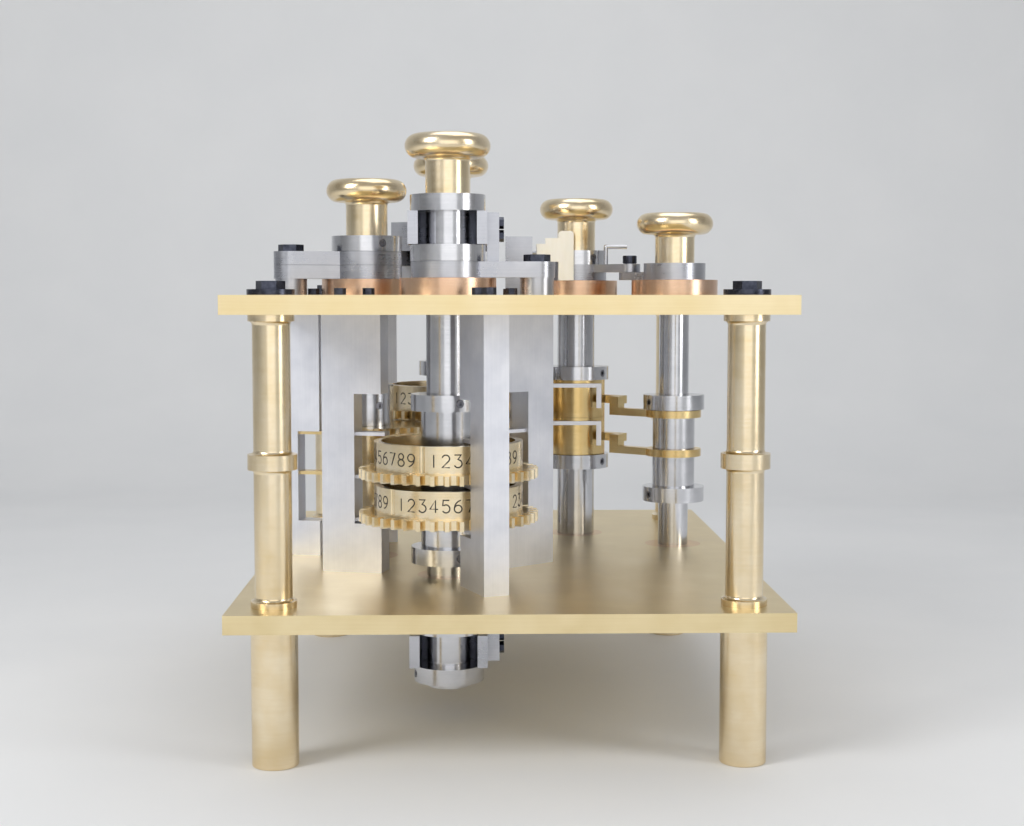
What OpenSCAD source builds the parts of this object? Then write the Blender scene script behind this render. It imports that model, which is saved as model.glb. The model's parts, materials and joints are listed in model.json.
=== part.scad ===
// Trial assembly of a difference engine: two columns of figure wheels between brass plates,
// with the sector axis that joins them and the carry and reset axes beside them.
// The origin is on the floor under the middle of the plates. The front is towards -Y.

/* [Frame] */
// Width of both plates
plate_w = 500; // [480:1:560]
// Depth of both plates
plate_d = 680; // [660:1:760]
// Thickness of both plates
plate_t = 17; // [14:0.5:22]
// Clear height between the plates
bay_h = 260; // [256:1:300]
// Height of the legs under the base plate
leg_h = 126; // [118:1:160]
// Pillar centre to the side edges and the front edge
pillar_inset = 40; // [34:1:46]
// Rear pillar centre to the back edge
rear_inset = 84; // [50:1:90]

/* [Pillars and legs] */
// Diameter of a pillar between its collars
pillar_d = 33.5; // [30:0.5:36]
// Diameter of the collar at half height
pillar_ring_d = 44; // [40:0.5:50]
// Height of the collar at half height
pillar_ring_h = 13.5; // [10:0.5:18]
// Diameter of the collars at both ends
pillar_end_d = 41; // [38:0.5:46]
// Height of the collars at both ends
pillar_end_h = 6; // [4:0.5:9]
// Diameter of the spigot through each plate
pillar_spigot_d = 22; // [16:0.5:26]
// Radius of the turned fillets beside the collars
pillar_fillet = 3.5; // [1:0.25:3.5]
// Diameter of a leg
leg_d = 42; // [38:0.5:48]
// Width across the flats of a pillar bolt's head
pillar_bolt_af = 22.5; // [20:0.5:26]
// Height of a pillar bolt's head
pillar_bolt_h = 7.3; // [5:0.1:10]
// Diameter of a pillar bolt's shank
pillar_bolt_d = 14; // [10:0.5:16]
// Diameter of a pillar washer
washer_d = 42; // [40:0.5:48]
// Thickness of a pillar washer
washer_t = 5; // [3:0.25:6]

/* [Axes] */
// Diameter of the figure, sector and carry shafts
shaft_d = 43; // [40:0.5:46]
// Diameter of the reset shaft
reset_shaft_d = 33; // [30:0.5:38]
// Diameter of the bush flanges on the top plate
bush_d = 95; // [88:0.5:100]
// Height of the bush flanges
bush_h = 16.7; // [12:0.1:20]
// Diameter of the bush bodies in the plates
bush_body_d = 62; // [56:0.5:70]
// Diameter of the stop collars
collar_d = 74; // [68:0.5:78]
// Height of the stop collars
collar_h = 16; // [12:0.5:18]
// Front figure axis to the middle of the plates, across
front_axis_x = -57; // [-62:0.5:-52]
// Front figure axis to the middle of the plates, front to back
front_axis_y = -135; // [-140:0.5:-130]
// Direction from the front figure axis to the sector axis
sector_turn = 126; // [124:0.5:128]
// Distance from the rear figure axis to the carry axis
carry_gap = 150; // [144:0.5:156]
// Direction from the rear figure axis to the carry axis
carry_turn = 16; // [12:0.5:20]
// Distance from the carry axis to the reset axis
reset_gap = 135; // [131:0.5:138]
// Direction from the carry axis to the reset axis
reset_turn = -40; // [-44:0.5:-37]

/* [Figure wheels] */
// Teeth on a figure wheel
wheel_teeth = 40; // [40:10:40]
// Tooth module of the wheels and sectors
tooth_module = 4.233; // [4.1:0.001:4.3]
// Diameter of the figure drum
drum_d = 147; // [140:0.5:150]
// Wall of the figure drum
drum_wall = 7; // [5:0.5:10]
// Height of the drum above the toothed rim
drum_h = 26.7; // [22:0.1:28]
// Thickness of the toothed rim
rim_t = 9.3; // [7:0.1:10]
// Height from one wheel to the next
wheel_pitch = 43; // [42.5:0.1:48]
// Lowest wheel above the base plate
first_wheel = 55; // [50:0.5:64]
// Diameter of the sleeves that the wheels turn on
sleeve_d = 54; // [50:0.5:58]

/* [Sector wheels] */
// Teeth that a whole sector wheel would have
sector_teeth = 30; // [30:1:30]
// Diameter of the sector hubs
hub_d = 60; // [56:0.5:66]
// Thickness of the toothed sector plates
sector_t = 7.2; // [6:0.1:7.5]
// Rise that brings the sectors into mesh
sector_lift = 8; // [7.8:0.1:9]

/* [Posts and slips] */
// Thickness of the steel posts
post_t = 25; // [20:0.5:27]
// Inner end of a figure post from its axis
post_in = 66; // [62:0.5:70]
// Outer end of a figure post from its axis
post_out = 128; // [124:0.5:132]
// Notch in a figure post from its axis
post_notch = 94; // [93:0.5:98]
// Thickness of the slips that carry the wheels
slip_t = 3.5; // [2.5:0.1:4.5]
// Width of a slip
slip_w = 16; // [12:0.5:18]
// Diameter of the post bolt heads
bolt_head_d = 12; // [10:0.5:14]
// Height of the post bolt heads
bolt_head_h = 7; // [5:0.5:9]
// Diameter of the post bolts
bolt_d = 7; // [5:0.5:8]

/* [Knobs] */
// Diameter of the knobs
knob_d = 84; // [78:0.5:88]
// Thickness of the knobs
knob_t = 23; // [20:0.5:26]
// Height of a knob's stem
stem_h = 36; // [30:0.5:42]
// Diameter of a knob's stem
stem_d = 43.5; // [40:0.5:48]

/* [Lifting gear] */
// Thickness of the steady arms
arm_t = 15.6; // [12:0.1:18]
// Reach of a steady arm from its axis to its stud
arm_reach = 87.5; // [84:0.5:92]
// Reach of the sector axis's arms to their stud
sector_arm_reach = 80; // [74:0.5:84]
// Width of a steady arm
arm_w = 36; // [30:0.5:40]
// Thickness of the lifting forks
fork_t = 32; // [26:0.5:34]
// Width of a fork's gap
fork_gap = 57; // [54:0.5:60]
// Width of a fork's arms
fork_arm = 10; // [8:0.5:14]

/* [Fits] */
// Running clearance of a shaft in its bore, on the radius
run_fit = 0.06; // [0.03:0.01:0.09]
// Clearance of a fixed piece in its seat
seat_fit = 0.05; // [0.02:0.01:0.08]
// Gap beside a turning face
face_gap = 0.3; // [0.2:0.05:0.5]

/* [Hidden] */
$fn = 64;

// Heights of the plates
base_low = leg_h;
base_top = base_low + plate_t;
roof_low = base_top + bay_h;
roof_top = roof_low + plate_t;
bush_top = roof_top + bush_h;

// Places of the axes
function turned(p, r, a) = [p[0] + r * cos(a), p[1] + r * sin(a)];
wheel_r = wheel_teeth * tooth_module / 2;
sector_r = sector_teeth * tooth_module / 2;
mesh_gap = wheel_r + sector_r;
// The rear axis lies a whole number of sector teeth round from the front axis
mesh_span = 9;
rear_turn = sector_turn + 180 - 360 + mesh_span * 360 / sector_teeth;
front_at = [front_axis_x, front_axis_y];
sector_at = turned(front_at, mesh_gap, sector_turn);
rear_at = turned(sector_at, mesh_gap, rear_turn);
carry_at = turned(rear_at, carry_gap, carry_turn);
reset_at = turned(carry_at, reset_gap, reset_turn);
AXES = [front_at, sector_at, rear_at, carry_at, reset_at];
shaft_ds = [shaft_d, shaft_d, shaft_d, shaft_d, reset_shaft_d];

// Places of the pillars
pillar_x = plate_w / 2 - pillar_inset;
front_y = pillar_inset - plate_d / 2;
rear_y = plate_d / 2 - rear_inset;
PILLARS = [[-pillar_x, front_y], [pillar_x, front_y], [-pillar_x, rear_y], [pillar_x, rear_y]];

// Heights of the wheels, the slips under them and the notches in the posts
function level(n) = base_top + first_wheel + n * wheel_pitch;
wheel_h = rim_t + drum_h;
levels = 3;
notch_low = level(0) - face_gap - slip_t - 2;
notch_top = level(levels - 1) + wheel_h + 2;
function sector_level(n) = level(n) - sector_lift;
hub_h = wheel_pitch - sector_t - face_gap;

// Directions of the posts from their axes
front_post_turns = [-69, 39, 165];
rear_post_turns = [-39, 66, 195];
sector_post_turn = 168;
sector_post_in = 50;
sector_post_out = 88;
sector_post_notch = 74;
bolt_step = 15;
sector_bolt_step = 10;

// Heights on the figure axes, above and below the plates
collar_r = collar_d / 2;
stop_low = level(0) - 42;
stop_rise = 25;
fork_low = bush_top + face_gap + arm_t + face_gap + collar_h + face_gap;
fork_top = fork_low + fork_t;
top_collar = fork_top + face_gap;
knob_seat = top_collar + collar_h;
base_fork_top = base_low - 24 - collar_h;
base_fork_low = base_fork_top - fork_t;
foot_collar = base_fork_low - face_gap - collar_h;
shaft_foot = foot_collar - 6;
foot_collar_d = collar_d - 4;
spigot_d = 26;
spigot_h = 24;

// Gear outline: straight-flanked teeth with relieved tips, from a first tooth onwards
backlash = 0.5;
module gear_profile(teeth, first, count) {
  r = teeth * tooth_module / 2;
  tip = r + tooth_module * 0.95;
  root = r - tooth_module * 1.2;
  pitch_a = 360 / teeth;
  half_root = pitch_a * 0.31;
  half_mid = pitch_a * 0.25 - backlash / r * 90 / PI;
  half_tip = pitch_a * 0.15;
  polygon([
    for (i = [0:count - 1], p = [
      [root, -half_root], [r, -half_mid], [tip, -half_tip],
      [tip, half_tip], [r, half_mid], [root, half_root]
    ]) [p[0] * cos(first + i * pitch_a + p[1]), p[0] * sin(first + i * pitch_a + p[1])]
  ]);
}

// Round bar with a bore through it
module ring(d, h, bore) {
  difference() {
    cylinder(d = d, h = h);
    translate([0, 0, -1]) cylinder(d = bore, h = h + 2);
  }
}

module at(p, z = 0, turn = 0) {
  translate([p[0], p[1], z]) rotate([0, 0, turn]) children();
}

// Frame: plates, pillars, legs
module plate(z, pillar_hole) {
  difference() {
    translate([-plate_w / 2, -plate_d / 2, z]) cube([plate_w, plate_d, plate_t]);
    for (p = PILLARS) at(p, z - 1) cylinder(d = pillar_hole + 2 * seat_fit, h = plate_t + 2);
    for (p = AXES) at(p, z - 1) cylinder(d = bush_body_d + 2 * seat_fit, h = plate_t + 2);
    bolt_places() translate([0, 0, z - 1]) cylinder(d = bolt_d + 2 * seat_fit, h = plate_t + 2);
  }
}

module base_plate() {
  color("goldenrod") plate(base_low, pillar_spigot_d);
}

module top_plate() {
  color("goldenrod") plate(roof_low, pillar_bolt_d);
}

spigot_len = 30;
module pillar() {
  mid = bay_h / 2 - pillar_ring_h / 2;
  rotate_extrude() difference() {
    union() {
      translate([0, -plate_t - spigot_len]) square([pillar_spigot_d / 2, plate_t + spigot_len]);
      square([pillar_d / 2, bay_h]);
      square([pillar_end_d / 2, pillar_end_h]);
      translate([0, bay_h - pillar_end_h]) square([pillar_end_d / 2, pillar_end_h]);
      translate([0, mid]) square([pillar_ring_d / 2, pillar_ring_h]);
      square([pillar_d / 2 + pillar_fillet, pillar_end_h + pillar_fillet]);
      translate([0, bay_h - pillar_end_h - pillar_fillet])
        square([pillar_d / 2 + pillar_fillet, pillar_fillet]);
      translate([0, mid - pillar_fillet])
        square([pillar_d / 2 + pillar_fillet, pillar_ring_h + 2 * pillar_fillet]);
    }
    for (y = [pillar_end_h + pillar_fillet, bay_h - pillar_end_h - pillar_fillet,
              mid - pillar_fillet, mid + pillar_ring_h + pillar_fillet])
      translate([pillar_d / 2 + pillar_fillet, y]) circle(r = pillar_fillet);
    translate([0, bay_h - spigot_len]) square([pillar_bolt_d / 2 + seat_fit, spigot_len + 1]);
  }
}

module pillars() {
  color("gold") for (p = PILLARS) at(p, base_top) pillar();
}

module legs() {
  edge = 1.5;
  socket_h = spigot_len + 4;
  color("gold") for (p = PILLARS) at(p) rotate_extrude() difference() {
    union() {
      translate([0, edge]) square([leg_d / 2, leg_h - edge]);
      square([leg_d / 2 - edge, leg_h]);
      translate([leg_d / 2 - edge, edge]) circle(r = edge);
    }
    translate([0, leg_h - socket_h]) square([pillar_spigot_d / 2 + seat_fit, socket_h + 1]);
  }
}

module pillar_bolts() {
  length = washer_t + plate_t + spigot_len - 3;
  color("dimgray") for (p = PILLARS) at(p, roof_top + washer_t)
    hex_bolt(pillar_bolt_af / cos(30), pillar_bolt_h, pillar_bolt_d, length);
}

module pillar_washers() {
  color("dimgray") for (p = PILLARS) at(p, roof_top)
    ring(washer_d, washer_t, pillar_bolt_d + 2 * seat_fit);
}

// Steel posts that guide the wheels at three places around each axis
module post_block(inner, outer, notch, low, top, step) {
  difference() {
    translate([inner, -post_t / 2, base_top]) cube([outer - inner, post_t, bay_h]);
    translate([inner - 1, -post_t / 2 - 1, low]) cube([notch - inner + 1, post_t + 2, top - low]);
    for (r = post_bolt_rs(inner, outer, step), z = [base_top, roof_low])
      translate([r, 0, z - tap_h]) cylinder(d = bolt_d + 2 * seat_fit, h = 2 * tap_h);
  }
}

tap_h = 16;
function post_bolt_rs(inner, outer, step) = [(inner + outer) / 2 - step, (inner + outer) / 2 + step];

module figure_post(p, turn) {
  color("lightsteelblue") at(p, 0, turn) difference() {
    post_block(post_in, post_out, post_notch, notch_low, notch_top, bolt_step);
    for (n = [0:levels - 1]) translate([0, 0, level(n) - face_gap - slip_t]) slip_box(seat_fit);
  }
}

// A slip lies in a slot in its post and reaches in under the wheel above it
slip_in = drum_d / 2 - 10;
slip_seat = 8;
module slip_box(grow) {
  translate([slip_in, -slip_w / 2 - grow, -grow])
    cube([post_notch + slip_seat + grow - slip_in, slip_w + 2 * grow, slip_t + 2 * grow]);
}

module wheel_slips() {
  color("silver") for (n = [0:levels - 1]) {
    for (a = front_post_turns) at(front_at, level(n) - face_gap - slip_t, a) slip_box(0);
    for (a = rear_post_turns) at(rear_at, level(n) - face_gap - slip_t, a) slip_box(0);
  }
}

module front_post_near() {
  figure_post(front_at, front_post_turns[0]);
}

module front_post_right() {
  figure_post(front_at, front_post_turns[1]);
}

module front_post_left() {
  figure_post(front_at, front_post_turns[2]);
}

module rear_post_near() {
  figure_post(rear_at, rear_post_turns[0]);
}

module rear_post_back() {
  figure_post(rear_at, rear_post_turns[1]);
}

module rear_post_left() {
  figure_post(rear_at, rear_post_turns[2]);
}

sector_slip_in = hub_d / 2 + 4;
module sector_slip_box(grow) {
  translate([sector_slip_in, -slip_w / 2 - grow, -grow])
    cube([sector_post_notch + slip_seat + grow - sector_slip_in, slip_w + 2 * grow, slip_t + 2 * grow]);
}

module sector_post() {
  color("lightsteelblue") at(sector_at, 0, sector_post_turn) difference() {
    post_block(sector_post_in, sector_post_out, sector_post_notch,
               level(0) - 18, sector_level(2) - face_gap, sector_bolt_step);
    for (n = [1, 2]) translate([0, 0, sector_level(n) - face_gap - slip_t]) sector_slip_box(seat_fit);
  }
}

module sector_slips() {
  color("goldenrod") for (n = [1, 2])
    at(sector_at, sector_level(n) - face_gap - slip_t, sector_post_turn) sector_slip_box(0);
}

// Bolts through both plates into the ends of the posts
module bolt_places() {
  rs = post_bolt_rs(post_in, post_out, bolt_step);
  for (a = front_post_turns, r = rs) at(turned(front_at, r, a)) children();
  for (a = rear_post_turns, r = rs) at(turned(rear_at, r, a)) children();
  for (r = post_bolt_rs(sector_post_in, sector_post_out, sector_bolt_step))
    at(turned(sector_at, r, sector_post_turn)) children();
}

module hex_bolt(head_d, head_h, d, length) {
  cylinder(d = head_d, h = head_h, $fn = 6);
  translate([0, 0, -length]) cylinder(d = d, h = length);
}

module frame_bolts() {
  length = plate_t + tap_h - 2;
  color("dimgray") bolt_places() {
    translate([0, 0, roof_top]) hex_bolt(bolt_head_d, bolt_head_h, bolt_d, length);
    translate([0, 0, base_low]) mirror([0, 0, 1]) hex_bolt(bolt_head_d, bolt_head_h, bolt_d, length);
  }
}

// Bronze bushes in the plates
module top_bushes() {
  color("peru") for (i = [0:len(AXES) - 1]) at(AXES[i]) difference() {
    union() {
      translate([0, 0, roof_low]) cylinder(d = bush_body_d, h = plate_t + 1);
      translate([0, 0, roof_top]) cylinder(d = bush_d, h = bush_h);
    }
    translate([0, 0, roof_low - 1]) cylinder(d = shaft_ds[i] + 2 * run_fit, h = plate_t + bush_h + 2);
  }
}

module base_bushes() {
  color("peru") for (i = [0:len(AXES) - 1])
    at(AXES[i], base_low) ring(bush_body_d, plate_t, shaft_ds[i] + 2 * run_fit);
}

// Steady arms: a boss round the shaft and a reach to a stud on the top plate
arm_boss_d = 73;
stud_d = 33;
arm_bolt_d = 14;
arm_bolt_af = 23;
arm_bolt_h = 7;
front_arm_turn = 0;
rear_arm_turn = 150;
sector_arm_turn = 194;
arm_low = bush_top + face_gap;
sector_arm_t = 14;
sector_arms_top = arm_low + 2 * sector_arm_t + face_gap;

module steady_arm(t, reach) {
  difference() {
    union() {
      cylinder(d = arm_boss_d, h = t);
      translate([0, -arm_w / 2, 0]) cube([reach, arm_w, t]);
      translate([reach, 0, 0]) cylinder(d = arm_w, h = t);
    }
    translate([0, 0, -1]) cylinder(d = shaft_d + 2 * run_fit, h = t + 2);
    translate([reach, 0, -1]) cylinder(d = arm_bolt_d + 2 * seat_fit, h = t + 2);
  }
}

module front_steady_arm() {
  color("silver") at(front_at, arm_low, front_arm_turn) steady_arm(arm_t, arm_reach);
}

module rear_steady_arm() {
  color("silver") at(rear_at, arm_low, rear_arm_turn) steady_arm(arm_t, arm_reach);
}

module sector_arms() {
  color("silver") for (n = [0, 1])
    at(sector_at, arm_low + n * (sector_arm_t + face_gap), sector_arm_turn)
      steady_arm(sector_arm_t, sector_arm_reach);
}

arm_ends = [turned(front_at, arm_reach, front_arm_turn), turned(rear_at, arm_reach, rear_arm_turn),
            turned(sector_at, sector_arm_reach, sector_arm_turn)];
arm_tops = [arm_low + arm_t, arm_low + arm_t, sector_arms_top];

module arm_studs() {
  color("silver") for (p = arm_ends) at(p, roof_top)
    ring(stud_d, arm_low - roof_top, arm_bolt_d + 2 * seat_fit);
}

module arm_bolts() {
  color("dimgray") {
    for (i = [0:len(arm_ends) - 1]) at(arm_ends[i], arm_tops[i])
      hex_bolt(arm_bolt_af / cos(30), arm_bolt_h, arm_bolt_d, arm_tops[i] - roof_top);
    at(front_at, fork_low) bracket_bolts();
    at(rear_at, fork_low, rear_arm_turn) bracket_bolts();
    for (p = [front_at, rear_at]) at(p, base_fork_top) mirror([0, 0, 1]) bracket_bolts();
  }
}

module bracket_bolts() {
  for (z = [fork_t * 0.3, fork_t * 0.7])
    translate([fork_w / 2 + bracket_t, fork_back - bracket_d / 2, z]) rotate([0, 90, 0])
      hex_bolt(bolt_head_d, bolt_head_h - 2, bolt_d, bracket_t + 7);
}

// Lifting forks between two collars on each figure axis
fork_w = fork_gap + 2 * fork_arm;
fork_front = 26;
fork_back = 46;
bracket_t = 12;
bracket_d = 40;
module fork() {
  difference() {
    translate([-fork_w / 2, -fork_front, 0]) cube([fork_w, fork_front + fork_back, fork_t]);
    translate([-fork_gap / 2, -fork_front - 1, -1]) cube([fork_gap, fork_front + 1, fork_t + 2]);
    translate([0, 0, -1]) cylinder(d = fork_gap, h = fork_t + 2);
    for (z = [fork_t * 0.3, fork_t * 0.7])
      translate([fork_w / 2 - 8, fork_back - bracket_d / 2, z]) rotate([0, 90, 0])
        cylinder(d = bolt_d + 2 * seat_fit, h = 9);
  }
}

module lift_forks() {
  color("silver") {
    at(front_at, fork_low) fork();
    at(rear_at, fork_low, rear_arm_turn) fork();
  }
}

// Each bracket stands beside its fork: on the steady arm above, on the plate's underside below
module bracket(reach) {
  difference() {
    translate([fork_w / 2, fork_back - bracket_d, -reach]) cube([bracket_t, bracket_d, fork_t + reach]);
    for (z = [fork_t * 0.3, fork_t * 0.7])
      translate([fork_w / 2 - 1, fork_back - bracket_d / 2, z]) rotate([0, 90, 0])
        cylinder(d = bolt_d + 2 * seat_fit, h = bracket_t + 2);
  }
}

bracket_reach = fork_low - arm_low - arm_t;
module fork_brackets() {
  color("silver") {
    at(front_at, fork_low) bracket(bracket_reach);
    at(rear_at, fork_low, rear_arm_turn) bracket(bracket_reach);
    for (p = [front_at, rear_at]) at(p, base_fork_top) mirror([0, 0, 1])
      bracket(base_low - base_fork_top);
  }
}

module base_forks() {
  color("silver") for (p = [front_at, rear_at]) at(p, base_fork_top) mirror([0, 0, 1]) fork();
}

// Pale catch that stands on the carry bush, and the steel block that holds it by a pin
catch_w = 17;
catch_d = 12;
catch_h = 55.5;
catch_at = [carry_at[0] - 14.5, carry_at[1] - 43];
catch_arm = 24.8;
catch_pin_d = 5;
catch_pin_z = 31;
catch_pin_in = 4;
block_w = 30;
block_d = 22;
block_gap = 5;
block_rise = 49;
module carry_catch() {
  tip_r = 4;
  left = -catch_w / 2 - catch_arm;
  color("ivory") at(catch_at, bush_top) difference() {
    rotate([90, 0, 0]) translate([0, 0, -catch_d / 2]) linear_extrude(catch_d) {
      translate([-catch_w / 2, 0]) square([catch_w, catch_h - tip_r]);
      translate([-catch_w / 2 + tip_r, 0]) square([catch_w - 2 * tip_r, catch_h]);
      for (x = [-1, 1]) translate([x * (catch_w / 2 - tip_r), catch_h - tip_r]) circle(r = tip_r);
      translate([left, 21]) square([catch_arm + 1, 20]);
      translate([left + 10, 40]) square([catch_arm - 9, 7.5]);
    }
    translate([left - 1, 0, catch_pin_z]) rotate([0, 90, 0])
      cylinder(d = catch_pin_d + 2 * seat_fit, h = catch_pin_in + 2);
  }
}

module catch_block() {
  right = -catch_w / 2 - catch_arm - block_gap;
  color("silver") at(catch_at) {
    translate([right - block_w, -block_d / 2, roof_top]) cube([block_w, block_d, bush_h + block_rise]);
    translate([right - 2, 0, bush_top + catch_pin_z]) rotate([0, 90, 0])
      cylinder(d = catch_pin_d, h = block_gap + catch_pin_in + 1);
  }
}

// Turned parts shared by the axes
module shaft(d, low, high) {
  translate([0, 0, low]) cylinder(d = d, h = high - low);
  translate([0, 0, high - 1]) cylinder(d = spigot_d, h = spigot_h + 1);
}

module knob(rise = stem_h) {
  neck = 4;
  edge_r = knob_t / 2;
  rotate_extrude() difference() {
    union() {
      square([stem_d / 2, rise + 1]);
      translate([0, rise - neck]) square([stem_d / 2 + neck, neck + 1]);
      translate([0, rise]) square([knob_d / 2 - edge_r, knob_t]);
      translate([knob_d / 2 - edge_r, rise + edge_r]) circle(r = edge_r);
    }
    translate([stem_d / 2 + neck, rise - neck]) circle(r = neck);
    square([spigot_d / 2 + seat_fit, spigot_h + 1]);
  }
}

grub_d = 8;
module collar(d, h, bore, grub_turn) {
  difference() {
    ring(d, h, bore + 2 * seat_fit);
    rotate([0, 0, grub_turn]) translate([d / 2 - 3, 0, h / 2]) rotate([0, 90, 0]) cylinder(d = grub_d, h = 4);
  }
}

// Figure axis: shaft, knob, collars, sleeve and wheels
module figure_shaft() {
  color("silver") shaft(shaft_d, shaft_foot, knob_seat);
}

module figure_collars(upper_stop) {
  color("silver") {
    for (z = [fork_low - face_gap - collar_h, top_collar])
      translate([0, 0, z]) collar(collar_d, collar_h, shaft_d, 100);
    for (z = [stop_low, upper_stop]) translate([0, 0, z]) collar(collar_d, collar_h, shaft_d, -71);
    for (z = [base_fork_top + face_gap, foot_collar])
      translate([0, 0, z]) collar(foot_collar_d, collar_h, shaft_d, 200);
  }
}

module figure_sleeve(upper_stop) {
  low = stop_low + collar_h;
  color("silver") translate([0, 0, low]) ring(sleeve_d, upper_stop - low, shaft_d + 2 * seat_fit);
}

front_stop = level(2) + stop_rise - 2;
rear_stop = level(3) + 3;

module front_shaft() {
  at(front_at) figure_shaft();
}

module front_knob() {
  color("gold") at(front_at, knob_seat) knob();
}

module front_collars() {
  at(front_at) figure_collars(front_stop);
}

module front_sleeve() {
  at(front_at) figure_sleeve(front_stop);
}

module rear_shaft() {
  at(rear_at) figure_shaft();
}

module rear_knob() {
  color("gold") at(rear_at, knob_seat) knob();
}

module rear_collars() {
  at(rear_at) figure_collars(rear_stop);
}

module rear_sleeve() {
  at(rear_at) figure_sleeve(rear_stop);
}

// Figure wheel: an open drum for the digits on a web with a toothed rim.
// A groove down the drum marks each nought, and the angles say where the wheels stand.
front_upper_nought = -109;
front_lower_nought = -136;
rear_upper_nought = -154;
rear_lower_nought = -118;
web_t = 7;
groove_d = 6;
groove_rise = 2;
module figure_wheel(mesh_turn, nought_turn) {
  drum_in = drum_d - 2 * drum_wall;
  color("gold") difference() {
    union() {
      linear_extrude(rim_t) gear_profile(wheel_teeth, mesh_turn, wheel_teeth);
      cylinder(d = drum_d, h = wheel_h);
    }
    translate([0, 0, web_t]) cylinder(d = drum_in, h = wheel_h);
    for (a = [0:90:270]) rotate([0, 0, nought_turn + a])
      translate([drum_d / 2 + groove_d / 4, 0, rim_t + groove_rise]) cylinder(d = groove_d, h = drum_h);
    translate([0, 0, -1]) cylinder(d = sleeve_d + 2 * run_fit, h = wheel_h + 2);
  }
}

module front_upper_wheel() {
  at(front_at, level(1)) figure_wheel(sector_turn, front_upper_nought);
}

module front_lower_wheel() {
  at(front_at, level(0)) figure_wheel(sector_turn, front_lower_nought);
}

module rear_upper_wheel() {
  at(rear_at, level(2)) figure_wheel(rear_turn + 180, rear_upper_nought);
}

module rear_lower_wheel() {
  at(rear_at, level(1)) figure_wheel(rear_turn + 180, rear_lower_nought);
}

// Sector axis: it rises to bring the sectors into mesh with both columns
sector_stop = sector_level(2) + sector_t + face_gap;
sector_foot = base_low;
sector_seat = sector_arms_top + face_gap + collar_h;
sector_plain_d = 84;
module sector_shaft() {
  color("silver") at(sector_at) shaft(shaft_d, sector_foot, sector_seat);
}

module sector_knob() {
  color("gold") at(sector_at, sector_seat) knob();
}

module sector_collars() {
  color("silver") at(sector_at) {
    translate([0, 0, sector_arms_top + face_gap]) collar(collar_d, collar_h, shaft_d, -60);
    translate([0, 0, sector_stop]) collar(hub_d - 6, 42, shaft_d, -60);
    translate([0, 0, sector_level(1) - hub_h - face_gap - collar_h])
      collar(hub_d - 6, collar_h, shaft_d, -60);
  }
}

// A gap faces the front axis, and three teeth lie beyond each axis
spare_teeth = 3;
sector_first = sector_turn - 180 - (spare_teeth - 0.5) * 360 / sector_teeth;
module sector_wheel() {
  color("goldenrod") difference() {
    union() {
      linear_extrude(sector_t) gear_profile(sector_teeth, sector_first, mesh_span + 2 * spare_teeth);
      cylinder(d = sector_plain_d, h = sector_t);
      translate([0, 0, -hub_h]) cylinder(d = hub_d, h = hub_h + 1);
    }
    translate([0, 0, -hub_h - 1]) cylinder(d = shaft_d + 2 * run_fit, h = sector_t + hub_h + 2);
  }
}

module upper_sector() {
  at(sector_at, sector_level(2)) sector_wheel();
}

module lower_sector() {
  at(sector_at, sector_level(1)) sector_wheel();
}

// Carry axis: two levers with steel latches, and a crank that meets the reset axis
crank_t = 18;
carry_collar_d = 70;
crank_reach = 75;
crank_w = 24;
pin_d = 10;
pin_room = 0.6;
slot_room = 3;
rod_d = 5;
rod_r = 42;
rod_deep = 7;
rod_rise = collar_h + 4;
rod_reach = 24;
carry_seat = bush_top + face_gap + crank_t + collar_h;
lever_h = wheel_pitch - face_gap;
lever_d = 67.4;
lever_low = level(1) - 4;
lever_arm_z = 17;
lever_arm_t = 9;
lever_reach = 68;
lever_w = 12;
function lever_level(n) = lever_low + n * wheel_pitch;

module carry_shaft() {
  color("silver") at(carry_at) shaft(shaft_d, base_low, carry_seat);
}

module carry_knob() {
  color("gold") at(carry_at, carry_seat) knob();
}

module carry_crank() {
  slot = pin_d + 2 * pin_room;
  color("silver") at(carry_at, bush_top + face_gap, reset_turn) difference() {
    union() {
      cylinder(d = carry_collar_d, h = crank_t);
      translate([0, -crank_w / 2, crank_t / 2]) cube([crank_reach, crank_w, crank_t / 2]);
      translate([crank_reach, 0, crank_t / 2]) cylinder(d = crank_w, h = crank_t / 2);
    }
    translate([0, 0, -1]) cylinder(d = shaft_d + 2 * seat_fit, h = crank_t + 2);
    for (x = [-slot_room, slot_room]) translate([crank_reach + x, 0, -1])
      cylinder(d = slot, h = crank_t + 2);
    translate([crank_reach - slot_room, -slot / 2, -1]) cube([2 * slot_room, slot, crank_t + 2]);
    translate([rod_r, 0, crank_t - rod_deep]) cylinder(d = rod_d + 2 * seat_fit, h = rod_deep + 1);
  }
}

// Bent rod let into the crank's arm
module carry_rod() {
  color("gray") at(turned(carry_at, rod_r, reset_turn), carry_seat - collar_h) {
    translate([0, 0, -rod_deep]) cylinder(d = rod_d, h = rod_deep + rod_rise);
    translate([0, 0, rod_rise]) sphere(d = rod_d);
    translate([0, 0, rod_rise]) rotate([0, 90, 0]) cylinder(d = rod_d, h = rod_reach);
  }
}

module carry_collars() {
  stop_d = collar_d + 2;
  color("silver") at(carry_at) {
    translate([0, 0, carry_seat - collar_h]) collar(carry_collar_d, collar_h, shaft_d, -60);
    translate([0, 0, lever_level(2)]) collar(stop_d, 15, shaft_d, -40);
    translate([0, 0, lever_level(0) - face_gap - collar_h]) collar(stop_d, collar_h, shaft_d, -40);
  }
}

latch_z = lever_h - 8;
latch_t = 4.5;
latch_deep = 7;
latch_left = 36;
latch_right = 27;
latch_leg = 28;
module latch_solid(grow) {
  y = -lever_d / 2 - 2;
  translate([-latch_left, y, latch_z - grow])
    cube([latch_left + latch_right, latch_deep + grow, latch_t + 2 * grow]);
}

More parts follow.
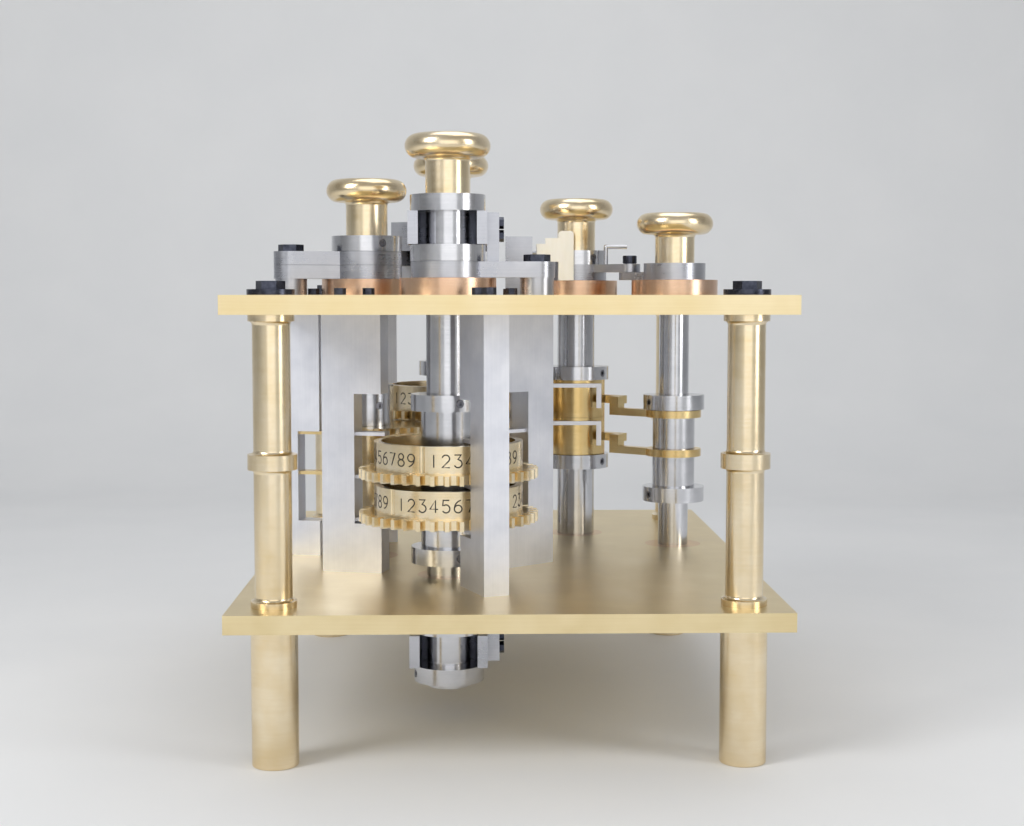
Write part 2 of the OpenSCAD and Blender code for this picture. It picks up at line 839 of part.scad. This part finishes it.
module latch() {
  y = -lever_d / 2 - 2;
  latch_solid(0);
  translate([latch_right - 5.5, y, latch_z + latch_t - latch_leg]) cube([5.5, 4, latch_leg]);
}

module carry_lever() {
  color("darkgoldenrod") difference() {
    union() {
      cylinder(d = lever_d, h = lever_h);
      rotate([0, 0, reset_turn]) translate([0, -lever_w / 2, lever_arm_z])
        cube([lever_reach, lever_w, lever_arm_t]);
    }
    translate([0, 0, -1]) cylinder(d = shaft_d + 2 * run_fit, h = lever_h + 2);
    latch_solid(seat_fit);
  }
}

module upper_carry_lever() {
  at(carry_at, lever_level(1)) carry_lever();
}

module lower_carry_lever() {
  at(carry_at, lever_level(0)) carry_lever();
}

module upper_latch() {
  color("silver") at(carry_at, lever_level(1)) latch();
}

module lower_latch() {
  color("silver") at(carry_at, lever_level(0)) latch();
}

// Reset axis: a split collar with a lug and pin for the crank, sleeves and two brass arms
lug_reach = reset_gap - crank_reach;
reset_collar_d = 68;
reset_sleeve_d = 47;
reset_seat = bush_top + face_gap + crank_t;
reset_stem = 32;
module reset_shaft() {
  color("silver") at(reset_at) shaft(reset_shaft_d, base_low, reset_seat);
}

module reset_knob() {
  color("gold") at(reset_at, reset_seat) knob(reset_stem);
}

module reset_crank() {
  lug_h = crank_t / 2 - face_gap;
  color("silver") at(reset_at, bush_top + face_gap, reset_turn + 180) difference() {
    union() {
      cylinder(d = reset_collar_d, h = crank_t);
      translate([0, -crank_w / 2, 0]) cube([lug_reach, crank_w, lug_h]);
      translate([lug_reach, 0, 0]) cylinder(d = crank_w, h = lug_h);
      translate([lug_reach, 0, 0]) cylinder(d = pin_d, h = crank_t + 3);
    }
    translate([0, 0, -1]) cylinder(d = reset_shaft_d + 2 * seat_fit, h = crank_t + 2);
  }
}

sleeve_low = level(0) + 10;
module reset_collars() {
  color("silver") at(reset_at) for (z = [sleeve_low - collar_h, sleeve_low + 2 * wheel_pitch])
    translate([0, 0, z]) collar(reset_collar_d, collar_h, reset_shaft_d, -150);
}

module reset_sleeves() {
  color("silver") at(reset_at) for (n = [0, 1]) translate([0, 0, sleeve_low + n * wheel_pitch])
    ring(reset_sleeve_d, wheel_pitch - face_gap, reset_shaft_d + 2 * seat_fit);
}

// Arm with an upright block at its end, beside the tip of the carry lever
head_gap = 2;
head_w = 12;
head_h = 21;
arm_plate_t = 8;
arm_hub_d = reset_sleeve_d + 14;
module reset_arms() {
  reach = reset_gap - lever_reach + 6;
  side = lever_w / 2 + head_gap;
  color("gold") for (n = [0, 1])
    at(reset_at, lever_level(n) + lever_arm_z + lever_arm_t - head_h, reset_turn + 180) difference() {
      union() {
        cylinder(d = arm_hub_d, h = arm_plate_t);
        translate([0, side, 0]) cube([reach, head_w, arm_plate_t]);
        translate([reach - head_w, side, 0]) cube([head_w, head_w, head_h]);
      }
      translate([0, 0, -1]) cylinder(d = reset_sleeve_d + 2 * seat_fit, h = head_h + 2);
    }
}

base_plate();
top_plate();
pillars();
legs();
pillar_bolts();
pillar_washers();
front_post_near();
front_post_right();
front_post_left();
rear_post_near();
rear_post_back();
rear_post_left();
sector_post();
wheel_slips();
sector_slips();
frame_bolts();
top_bushes();
base_bushes();
front_steady_arm();
rear_steady_arm();
sector_arms();
arm_studs();
arm_bolts();
lift_forks();
fork_brackets();
base_forks();
carry_catch();
catch_block();
front_shaft();
front_knob();
front_collars();
front_sleeve();
front_upper_wheel();
front_lower_wheel();
sector_shaft();
sector_knob();
sector_collars();
upper_sector();
lower_sector();
rear_shaft();
rear_knob();
rear_collars();
rear_sleeve();
rear_upper_wheel();
rear_lower_wheel();
carry_shaft();
carry_knob();
carry_collars();
carry_crank();
carry_rod();
upper_carry_lever();
lower_carry_lever();
upper_latch();
lower_latch();
reset_shaft();
reset_knob();
reset_collars();
reset_crank();
reset_sleeves();
reset_arms();
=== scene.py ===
import json
import math

import bmesh
import bpy
from mathutils import Matrix, Vector


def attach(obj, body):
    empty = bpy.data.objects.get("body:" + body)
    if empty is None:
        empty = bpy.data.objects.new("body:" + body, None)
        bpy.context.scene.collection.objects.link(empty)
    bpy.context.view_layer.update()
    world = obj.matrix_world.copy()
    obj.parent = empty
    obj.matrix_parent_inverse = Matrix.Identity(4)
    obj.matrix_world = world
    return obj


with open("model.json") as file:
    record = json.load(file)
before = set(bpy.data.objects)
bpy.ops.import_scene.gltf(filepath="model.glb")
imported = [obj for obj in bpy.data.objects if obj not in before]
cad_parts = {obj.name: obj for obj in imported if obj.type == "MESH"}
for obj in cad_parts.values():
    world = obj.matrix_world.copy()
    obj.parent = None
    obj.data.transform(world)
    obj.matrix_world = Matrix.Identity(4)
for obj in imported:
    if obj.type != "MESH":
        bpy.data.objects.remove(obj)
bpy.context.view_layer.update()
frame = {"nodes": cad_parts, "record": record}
nodes = frame["nodes"]
record = frame["record"]

MM = 0.001

# Places and sizes of the machine, in millimetres. Axes are given across and front to back.
FRONT_AXIS = (-57.0, -135.0)
SECTOR_AXIS = (-144.083, -15.14)
REAR_AXIS = (-57.0, 104.72)
CARRY_AXIS = (87.189, 146.065)
RESET_AXIS = (190.605, 59.289)
WHEEL_LEVELS = (198.0, 241.0, 284.0)
DRUM_R = 73.5
DRUM_H = 26.7
RIM_T = 9.3
COLLAR_R = 37.0
FOOT_COLLAR_R = 35.0
SECTOR_STOP_R = 27.0
CRANK_COLLAR_R = 35.0
LEVER_STOP_R = 38.0
RESET_STOP_R = 34.0
CRANK_TOP = 455.0
CRANK_TURN = -40.0
CRANK_PIN_R = 60.0


# Colour and shader helpers

def linear(hex_colour):
    """An sRGB hex colour as linear RGBA."""
    out = []
    for i in (1, 3, 5):
        c = int(hex_colour[i:i + 2], 16) / 255
        out.append(c / 12.92 if c <= 0.04045 else ((c + 0.055) / 1.055) ** 2.4)
    return (*out, 1.0)


def add(tree, kind, settings=None, links=None):
    """Adds one shader node, sets its properties, inputs and colour stops, and links its inputs."""
    node = tree.nodes.new(kind)
    for name, value in (settings or {}).items():
        if name == "stops":
            for stop, (position, hex_colour) in zip(node.color_ramp.elements, value):
                stop.position = position
                stop.color = linear(hex_colour)
        elif isinstance(name, str) and hasattr(node, name):
            setattr(node, name, value)
        else:
            node.inputs[name].default_value = value
    for name, source in (links or {}).items():
        tree.links.new(source, node.inputs[name])
    return node


def new_material(name):
    material = bpy.data.materials.new(name)
    material.use_nodes = True
    material.node_tree.nodes.clear()
    return material, material.node_tree


# Metals

MARK_SHARE = 0.35
MARK_RELIEF = 0.25
DULLER, BRIGHTER = 0.05, 0.04


def metal(name, light, dark, roughness, marks_mm, bump_mm, cloud_mm=30.0):
    """A worked metal: fine tool marks, soft clouding of the colour and an uneven polish.

    marks_mm gives how far the tool marks run along X, Y and Z."""
    material, tree = new_material(name)
    place = add(tree, "ShaderNodeTexCoord")
    stretched = add(tree, "ShaderNodeMapping",
                    {"Scale": tuple(1 / (run * MM) for run in marks_mm)},
                    {"Vector": place.outputs["Object"]})
    marks = add(tree, "ShaderNodeTexNoise",
                {"Scale": 1.0, "Detail": 3.0, "Roughness": 0.55},
                {"Vector": stretched.outputs["Vector"]})
    cloud = add(tree, "ShaderNodeTexNoise",
                {"Scale": 1 / (cloud_mm * MM), "Detail": 3.0, "Roughness": 0.55},
                {"Vector": place.outputs["Object"]})
    both = add(tree, "ShaderNodeMath", {"operation": "MULTIPLY_ADD", 1: MARK_SHARE},
               {0: marks.outputs["Fac"], 2: cloud.outputs["Fac"]})
    tint = add(tree, "ShaderNodeValToRGB", {"stops": ((0.4, dark), (0.95, light))},
               {"Fac": both.outputs["Value"]})
    polish = add(tree, "ShaderNodeMapRange",
                 {"From Min": 0.3, "From Max": 0.7,
                  "To Min": roughness - BRIGHTER, "To Max": roughness + DULLER},
                 {"Value": both.outputs["Value"]})
    relief = add(tree, "ShaderNodeBump", {"Strength": MARK_RELIEF, "Distance": bump_mm * MM},
                 {"Height": marks.outputs["Fac"]})
    shader = add(tree, "ShaderNodeBsdfPrincipled", {"Metallic": 1.0},
                 {"Base Color": tint.outputs["Color"], "Roughness": polish.outputs["Result"],
                  "Normal": relief.outputs["Normal"]})
    add(tree, "ShaderNodeOutputMaterial", {}, {"Surface": shader.outputs["BSDF"]})
    return material


# How far tool marks run, in millimetres. The real marks are about 0.1 mm apart and are drawn
# coarser so that they show.
BRUSHED_ACROSS = (70, 1.6, 1.2)
LATHE_RINGS = (60, 60, 1.2)
COARSE_RINGS = (60, 60, 1.4)
GROUND_UPWARD = (1.2, 1.2, 60)

# Rolled brass plate, brushed along its width and polished: pale straw on its edges
PLATE_BRASS = metal("brushed_brass_plate", "#F0DFB6", "#E1CC9B", 0.3, BRUSHED_ACROSS, 0.012, 55.0)
# Turned brass of the pillars, legs and knobs: pale, with fine rings from the lathe tool
TURNED_BRASS = metal("turned_brass", "#F7E8CB", "#E7D0A4", 0.2, COARSE_RINGS, 0.005)
# Gear-cut wheel brass: bright pale gold
WHEEL_BRASS = metal("gear_cut_brass", "#FAEDD2", "#EAD3A4", 0.2, LATHE_RINGS, 0.004)
# Turned and milled lever brass: deeper gold, with faint rings round the boss
LEVER_BRASS = metal("milled_brass", "#F0D9A4", "#DCBA7A", 0.22, LATHE_RINGS, 0.004)
# Turned bearing bronze: pinkish, satin
BRONZE = metal("turned_bronze", "#EACBB2", "#D8B091", 0.22, LATHE_RINGS, 0.005)
# Bronze of the bushes in the base plate, faced off flush with the plate and brushed with it
FLUSH_BRONZE = metal("flush_bronze", "#E9CDA2", "#D8B788", 0.29, BRUSHED_ACROSS, 0.01)
# Ground steel of the posts and slips: pale, satin, with grinding marks that run up the post
POST_STEEL = metal("ground_steel", "#EDEEF4", "#DADCE4", 0.36, GROUND_UPWARD, 0.003)
# Milled steel of the arms, forks and cranks: greyer, with long level cutter marks
MILLED_STEEL = metal("milled_steel", "#C6C7CD", "#ADAFB6", 0.25, COARSE_RINGS, 0.0015)
# Turned steel: shafts and collars with faint lathe rings under a bright polish
TURNED_STEEL = metal("turned_steel", "#DEDEE1", "#C2C3C7", 0.15, LATHE_RINGS, 0.004)
# Oiled steel of the grub screws: mid grey, a little greasy
SCREW_STEEL = metal("oiled_steel", "#A6A6AE", "#77777F", 0.26, (1.5, 1.5, 1.5), 0.004, 6.0)
# Black oxide on steel fasteners: a blue-black with a hard sheen on its edges
BLACK_STEEL = metal("black_oxide_steel", "#565966", "#2C2F39", 0.22, (2, 2, 2), 0.006, 8.0)


# Plastic and wax

def ivory_plastic():
    """Cast plastic the colour of ivory: smooth, a little waxy, with faint upright streaks."""
    material, tree = new_material("ivory_plastic")
    place = add(tree, "ShaderNodeTexCoord")
    streak = add(tree, "ShaderNodeMapping",
                 {"Scale": (1 / (6 * MM), 1 / (6 * MM), 1 / (40 * MM))},
                 {"Vector": place.outputs["Object"]})
    grain = add(tree, "ShaderNodeTexNoise", {"Scale": 1.0, "Detail": 3.0},
                {"Vector": streak.outputs["Vector"]})
    tint = add(tree, "ShaderNodeValToRGB", {"stops": ((0.3, "#F4EFE1"), (0.7, "#FAF6EC"))},
               {"Fac": grain.outputs["Fac"]})
    relief = add(tree, "ShaderNodeBump", {"Strength": 0.06, "Distance": 0.03 * MM},
                 {"Height": grain.outputs["Fac"]})
    shader = add(tree, "ShaderNodeBsdfPrincipled",
                 {"Roughness": 0.42, "IOR": 1.5, "Subsurface Weight": 0.08,
                  "Subsurface Radius": (4 * MM, 3 * MM, 2 * MM)},
                 {"Base Color": tint.outputs["Color"], "Normal": relief.outputs["Normal"]})
    add(tree, "ShaderNodeOutputMaterial", {}, {"Surface": shader.outputs["BSDF"]})
    return material


def engraving_wax():
    """Dark wax pressed into the engraved numerals: matt, a little uneven."""
    material, tree = new_material("engraving_wax")
    place = add(tree, "ShaderNodeTexCoord")
    grain = add(tree, "ShaderNodeTexNoise", {"Scale": 1 / (1.5 * MM), "Detail": 3.0},
                {"Vector": place.outputs["Object"]})
    tint = add(tree, "ShaderNodeValToRGB", {"stops": ((0.0, "#1C1813"), (1.0, "#3B332A"))},
               {"Fac": grain.outputs["Fac"]})
    shader = add(tree, "ShaderNodeBsdfPrincipled", {"Roughness": 0.6},
                 {"Base Color": tint.outputs["Color"]})
    add(tree, "ShaderNodeOutputMaterial", {}, {"Surface": shader.outputs["BSDF"]})
    return material


IVORY = ivory_plastic()
WAX = engraving_wax()


# Finishes of the CAD pieces

SLOT_MATERIALS = {
    "plate_brass": PLATE_BRASS,
    "turned_brass": TURNED_BRASS,
    "wheel_brass": WHEEL_BRASS,
    "lever_brass": LEVER_BRASS,
    "bronze": BRONZE,
    "satin_steel": TURNED_STEEL,
    "black_steel": BLACK_STEEL,
    "ivory_plastic": IVORY,
}
# Steel nodes whose surface was ground or milled, by a word in their names
STEEL_FINISHES = (
    (("post", "slips", "latch"), POST_STEEL),
    (("arm", "forks", "brackets", "crank", "block", "studs"), MILLED_STEEL),
)
BROKEN_EDGE = 0.5
BOLT_CHAMFER = 1.2
SHARP_ANGLE = 40


def finish_of(name, slot):
    """The material of a CAD node, from its slot and, for some, from its name."""
    if name == "base_bushes":
        return FLUSH_BRONZE
    chosen = SLOT_MATERIALS[slot]
    if chosen is TURNED_STEEL:
        for words, finish in STEEL_FINISHES:
            if any(word in name for word in words):
                chosen = finish
    return chosen


def dress(name, slot):
    """Gives a CAD node its material and takes the sharpness off its edges."""
    node = nodes[name]
    node.data.materials.clear()
    node.data.materials.append(finish_of(name, slot))
    edge = node.modifiers.new("broken_edges", "BEVEL")
    edge.width = (BOLT_CHAMFER if "bolts" in name else BROKEN_EDGE) * MM
    edge.segments = 2
    edge.limit_method = "ANGLE"
    edge.angle_limit = math.radians(SHARP_ANGLE)


for part in record["subparts"]:
    dress(part["node"], part["material_slot"])


# Pieces that ride on a body

def piece(name, bm, material, body):
    bmesh.ops.recalc_face_normals(bm, faces=bm.faces)
    mesh = bpy.data.meshes.new(name)
    bm.to_mesh(mesh)
    bm.free()
    mesh.materials.append(material)
    obj = bpy.data.objects.new(name, mesh)
    bpy.context.scene.collection.objects.link(obj)
    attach(obj, body)


# Engraved numerals

def arc(cx, cy, rx, ry, start, end, steps=14):
    """Points on part of an ellipse, from one angle to another in degrees."""
    angles = [math.radians(start + (end - start) * i / steps) for i in range(steps + 1)]
    return [(cx + rx * math.cos(a), cy + ry * math.sin(a)) for a in angles]


# Each numeral is a list of (closed, points) strokes in a box 0.6 wide and 1 high. A closed ring
# stops one step short of its start.
RING_END, RING_STEPS = 342, 19
SIX = [(True, arc(0, 0.3, 0.28, 0.3, 0, RING_END, RING_STEPS)),
       (False, arc(0.3, 0.3, 0.58, 0.7, 100, 180, 10))]
NUMERALS = {
    1: [(False, [(0.0, 1.0), (0.0, 0.0)])],
    2: [(False, arc(0, 0.71, 0.27, 0.29, 165, -35) + [(-0.27, 0.0), (0.29, 0.0)])],
    3: [(False, [(-0.26, 1.0), (0.22, 1.0)] + arc(0, 0.31, 0.29, 0.31, 95, -155))],
    4: [(False, [(0.12, 0.0), (0.12, 1.0), (-0.3, 0.28), (0.3, 0.28)])],
    5: [(False, [(0.24, 1.0), (-0.2, 1.0), (-0.24, 0.55)]
         + arc(0, 0.32, 0.28, 0.32, 122, -150))],
    6: SIX,
    7: [(False, [(-0.28, 1.0), (0.28, 1.0), (-0.08, 0.0)])],
    8: [(True, arc(0, 0.76, 0.23, 0.24, 0, RING_END, RING_STEPS)),
        (True, arc(0, 0.26, 0.29, 0.26, 0, RING_END, RING_STEPS))],
    9: [(closed, [(-x, 1 - y) for x, y in points]) for closed, points in SIX],
}
NUMERAL_H = 12.0
NUMERAL_W = 13.0
# The middle of the numerals, as a share of the drum's height
NUMERAL_MIDDLE = 0.485
STROKE = 1.22
# Top and floor of the wax, from the face of the drum
WAX_TOP = 0.08
WAX_FLOOR = -0.5
DIGIT_STEP = 9
RUNS = 4
# The side of the drums that faces the photo, in degrees
FACING = -91
# How far the corners of a stroke may be widened: the least cosine of half the bend
SHARPEST_CORNER = 0.6


def wrap(axis, radius, angle, along, z):
    """A point on a drum: along is measured round it, from the angle in degrees."""
    a = math.radians(angle) + along / radius
    return Vector((axis[0] + radius * math.cos(a), axis[1] + radius * math.sin(a), z)) * MM


def stroke_sides(points, closed):
    """How far each point's left side lies from it, so that the stroke keeps its width in bends."""
    count = len(points)
    sides = []
    for i, point in enumerate(points):
        before = points[i - 1] if i or closed else point
        after = points[(i + 1) % count] if i + 1 < count or closed else point
        along = Vector((after[0] - before[0], after[1] - before[1])).normalized()
        across = Vector((-along.y, along.x)) * STROKE / 2
        into = Vector((point[0] - before[0], point[1] - before[1]))
        if into.length > 0:
            across /= max(SHARPEST_CORNER, abs(into.normalized().dot(along)))
        sides.append(across)
    return sides


def wax_stroke(bm, axis, angle, z, points, closed):
    """A filled groove: a strip that follows points on the drum, sunk in its face."""
    rows = []
    for (x, y), across in zip(points, stroke_sides(points, closed)):
        corners = ((1, WAX_TOP), (-1, WAX_TOP), (-1, WAX_FLOOR), (1, WAX_FLOOR))
        rows.append([bm.verts.new(wrap(axis, DRUM_R + lift, angle,
                                       x + side * across.x, z + y + side * across.y))
                     for side, lift in corners])
    following = rows[1:] + rows[:1] if closed else rows[1:]
    for a, b in zip(rows, following):
        for k in range(4):
            bm.faces.new((a[k], a[(k + 1) % 4], b[(k + 1) % 4], b[k]))
    if not closed:
        bm.faces.new(rows[0])
        bm.faces.new(tuple(reversed(rows[-1])))


def drum_numerals(name, body, axis, level, facing_digit):
    """Four runs of one to nine round the drum. A groove in the drum stands for each nought."""
    bm = bmesh.new()
    base = level + RIM_T + DRUM_H * NUMERAL_MIDDLE - NUMERAL_H / 2
    for run in range(RUNS):
        for digit, strokes in NUMERALS.items():
            angle = FACING + (digit - facing_digit) * DIGIT_STEP + run * 360 / RUNS
            for closed, points in strokes:
                sized = [(x * NUMERAL_W, y * NUMERAL_H) for x, y in points]
                wax_stroke(bm, axis, angle, base, sized, closed)
    piece(name, bm, WAX, body)


drum_numerals("upper_front_numerals", "upper_front_wheel", FRONT_AXIS, WHEEL_LEVELS[1], 2)
drum_numerals("lower_front_numerals", "lower_front_wheel", FRONT_AXIS, WHEEL_LEVELS[0], 5)
drum_numerals("upper_rear_numerals", "upper_rear_wheel", REAR_AXIS, WHEEL_LEVELS[2], 7)
drum_numerals("lower_rear_numerals", "lower_rear_wheel", REAR_AXIS, WHEEL_LEVELS[1], 3)


# Socket screws

# Each screw is a stack of rings from its hidden end to the floor of its socket: radius, height
# and whether the ring is six-sided
GRUB_RINGS = ((3.9, -2.9, False), (3.9, -0.7, False), (3.5, -0.3, False),
              (2.3, -0.3, True), (2.1, -2.4, True))
CAP_RINGS = ((7.2, 0.0, False), (8.0, 0.8, False), (8.0, 8.2, False), (7.2, 9.0, False),
             (4.2, 9.0, True), (4.0, 4.5, True))
SCREW_STEPS = 24
# The cap screw stands this far off the crank
SCREW_GAP = 0.5


def socket_screw(bm, place, rings):
    """A screw that points along X of place: a round head with a bevelled rim and a hex socket."""
    loops = []
    for reach, height, six_sided in rings:
        loop = []
        for i in range(SCREW_STEPS):
            a = 2 * math.pi * i / SCREW_STEPS
            r = reach
            if six_sided:
                r *= math.cos(math.pi / 6) / math.cos(a % (math.pi / 3) - math.pi / 6)
            rim = Vector((height, r * math.cos(a), r * math.sin(a))) * MM
            loop.append(bm.verts.new(place @ rim))
        loops.append(loop)
    for a, b in zip(loops, loops[1:]):
        for i in range(SCREW_STEPS):
            j = (i + 1) % SCREW_STEPS
            bm.faces.new((a[i], a[j], b[j], b[i]))
    bm.faces.new(loops[-1])
    bm.faces.new(tuple(reversed(loops[0])))


def grub_screws(name, body, axis, places):
    """Screws let into collars on one axis: collar radius, angle and height of each."""
    bm = bmesh.new()
    for radius, angle, z in places:
        place = (Matrix.Translation(Vector((*axis, z)) * MM)
                 @ Matrix.Rotation(math.radians(angle), 4, "Z")
                 @ Matrix.Translation((radius * MM, 0, 0)))
        socket_screw(bm, place, GRUB_RINGS)
    piece(name, bm, SCREW_STEEL, body)


def crank_pin_screw():
    """Black cap screw on the pin that joins the two cranks."""
    turn = math.radians(CRANK_TURN)
    pin = Vector((RESET_AXIS[0] - CRANK_PIN_R * math.cos(turn),
                  RESET_AXIS[1] - CRANK_PIN_R * math.sin(turn), CRANK_TOP + SCREW_GAP))
    upright = Matrix.Rotation(math.radians(-90), 4, "Y")
    bm = bmesh.new()
    socket_screw(bm, Matrix.Translation(pin * MM) @ upright, CAP_RINGS)
    piece("crank_pin_screw", bm, BLACK_STEEL, "reset_axis")


# Heights of the screws, each at the middle of its collar
FORK_COLLARS = (460.9, 509.5)
FOOT_COLLARS = (94.3, 45.7)
LOW_STOP = 164.0
FRONT_HIGH_STOP = 315.0
REAR_HIGH_STOP = 338.0
SECTOR_COLLAR = 473.6
SECTOR_STOPS = (304.5, 189.2)
CRANK_COLLAR = CRANK_TOP + 8
LEVER_STOPS = (330.5, 228.7)
RESET_STOPS = (200.0, 302.0)
# Sides of the collars that the screws are on, in degrees
FORK_SIDE, STOP_SIDE, FOOT_SIDE = 100, -71, 200
FRONT_RIGHT, LEVER_SIDE, RESET_SIDE = -60, -40, -150


def column_screws(high_stop):
    """Screws of a figure axis: in the fork collars, the stop collars and the foot collars."""
    return ([(COLLAR_R, FORK_SIDE, z) for z in FORK_COLLARS]
            + [(COLLAR_R, STOP_SIDE, z) for z in (LOW_STOP, high_stop)]
            + [(FOOT_COLLAR_R, FOOT_SIDE, z) for z in FOOT_COLLARS])


grub_screws("front_grub_screws", "front_axis", FRONT_AXIS, column_screws(FRONT_HIGH_STOP))
grub_screws("rear_grub_screws", "rear_axis", REAR_AXIS, column_screws(REAR_HIGH_STOP))
grub_screws("sector_grub_screws", "sector_axis", SECTOR_AXIS,
            [(COLLAR_R, FRONT_RIGHT, SECTOR_COLLAR)]
            + [(SECTOR_STOP_R, FRONT_RIGHT, z) for z in SECTOR_STOPS])
grub_screws("carry_grub_screws", "carry_axis", CARRY_AXIS,
            [(CRANK_COLLAR_R, FRONT_RIGHT, CRANK_COLLAR)]
            + [(LEVER_STOP_R, LEVER_SIDE, z) for z in LEVER_STOPS])
grub_screws("reset_grub_screws", "reset_axis", RESET_AXIS,
            [(RESET_STOP_R, RESET_SIDE, z) for z in RESET_STOPS])
crank_pin_screw()


# Floor, light and camera, in metres

BOARD_HALF_W = 45.0
BOARD_NEAR = -3.6
SWEEP_Y = 1.6
SWEEP_R = 0.9
SWEEP_STEPS = 12
BOARD_TOP = 4.0


def pale_board():
    """Material of the floor and backdrop: matt, with a very faint mottling."""
    material, tree = new_material("pale_board")
    place = add(tree, "ShaderNodeTexCoord")
    cloud = add(tree, "ShaderNodeTexNoise", {"Scale": 1 / (220 * MM), "Detail": 4.0},
                {"Vector": place.outputs["Object"]})
    tint = add(tree, "ShaderNodeValToRGB", {"stops": ((0.0, "#E2E3E4"), (1.0, "#EBEBEB"))},
               {"Fac": cloud.outputs["Fac"]})
    shader = add(tree, "ShaderNodeBsdfPrincipled", {"Roughness": 0.75},
                 {"Base Color": tint.outputs["Color"]})
    add(tree, "ShaderNodeOutputMaterial", {}, {"Surface": shader.outputs["BSDF"]})
    return material


def backdrop():
    """A floor that sweeps up into a wall behind the machine."""
    turns = [math.pi / 2 * i / SWEEP_STEPS for i in range(1, SWEEP_STEPS + 1)]
    profile = [(BOARD_NEAR, 0.0), (SWEEP_Y, 0.0)]
    profile += [(SWEEP_Y + SWEEP_R * math.sin(a), SWEEP_R - SWEEP_R * math.cos(a)) for a in turns]
    profile += [(SWEEP_Y + SWEEP_R, BOARD_TOP)]
    bm = bmesh.new()
    rows = [[bm.verts.new((x, y, z)) for x in (-BOARD_HALF_W, BOARD_HALF_W)] for y, z in profile]
    for a, b in zip(rows, rows[1:]):
        bm.faces.new((a[0], a[1], b[1], b[0]))
    mesh = bpy.data.meshes.new("backdrop")
    bm.to_mesh(mesh)
    bm.free()
    for face in mesh.polygons:
        face.use_smooth = True
    mesh.materials.append(pale_board())
    obj = bpy.data.objects.new("backdrop", mesh)
    bpy.context.scene.collection.objects.link(obj)


# Soft lamps: name, place, aim, width and height, watts
LAMPS = (
    ("front", (0.2, -3.4, 1.0), (0, 0, 0.35), (3.0, 2.0), 14),
    ("key", (-1.7, -1.5, 1.7), (0, 0, 0.25), (0.9, 1.4), 30),
    ("fill", (1.9, -1.3, 1.0), (0, 0, 0.25), (0.7, 1.6), 14),
    ("top", (0.2, 0.3, 2.4), (0, 0, 0.3), (1.6, 1.6), 13),
)


def soft_lamp(name, where, aim, size, watts):
    data = bpy.data.lights.new(name, "AREA")
    data.shape = "RECTANGLE"
    data.size, data.size_y = size
    data.energy = watts
    lamp = bpy.data.objects.new(name, data)
    bpy.context.scene.collection.objects.link(lamp)
    lamp.location = where
    toward = Vector(aim) - Vector(where)
    lamp.rotation_euler = toward.to_track_quat("-Z", "Y").to_euler()


def room():
    """Pale room light, darker at both sides, which gives the turned metal its dark edges."""
    world = bpy.data.worlds.new("studio")
    bpy.context.scene.world = world
    world.use_nodes = True
    tree = world.node_tree
    tree.nodes.clear()
    place = add(tree, "ShaderNodeTexCoord")
    split = add(tree, "ShaderNodeSeparateXYZ", {}, {"Vector": place.outputs["Generated"]})
    sky = add(tree, "ShaderNodeValToRGB", {"stops": ((0.0, "#E6E7E8"), (0.8, "#BFC1C4"))},
              {"Fac": split.outputs["Z"]})
    side = add(tree, "ShaderNodeMath", {"operation": "ABSOLUTE"}, {0: split.outputs["X"]})
    dimmed = add(tree, "ShaderNodeMapRange",
                 {"From Min": 0.55, "From Max": 0.95, "To Min": 0.78, "To Max": 0.35},
                 {"Value": side.outputs["Value"]})
    back = add(tree, "ShaderNodeBackground", {},
               {"Color": sky.outputs["Color"], "Strength": dimmed.outputs["Result"]})
    add(tree, "ShaderNodeOutputWorld", {}, {"Surface": back.outputs["Background"]})


# The photo's camera: place in millimetres, tilt down and turn in degrees
CAMERA_PLACE = (-32.6, -1713.0, 419.0)
CAMERA_TILT = 4.18
CAMERA_TURN = -1.4
CAMERA_LENS = 56.25
CAMERA_SENSOR = 36
CAMERA_REACH = 100


def photo_camera():
    data = bpy.data.cameras.new("photo_camera")
    data.sensor_width = CAMERA_SENSOR
    data.lens = CAMERA_LENS
    data.clip_end = CAMERA_REACH
    camera = bpy.data.objects.new("photo_camera", data)
    bpy.context.scene.collection.objects.link(camera)
    camera.location = Vector(CAMERA_PLACE) * MM
    camera.rotation_euler = (math.radians(90 - CAMERA_TILT), 0, math.radians(CAMERA_TURN))
    bpy.context.scene.camera = camera


backdrop()
for lamp_settings in LAMPS:
    soft_lamp(*lamp_settings)
room()
photo_camera()
bpy.context.scene.view_settings.view_transform = "Standard"
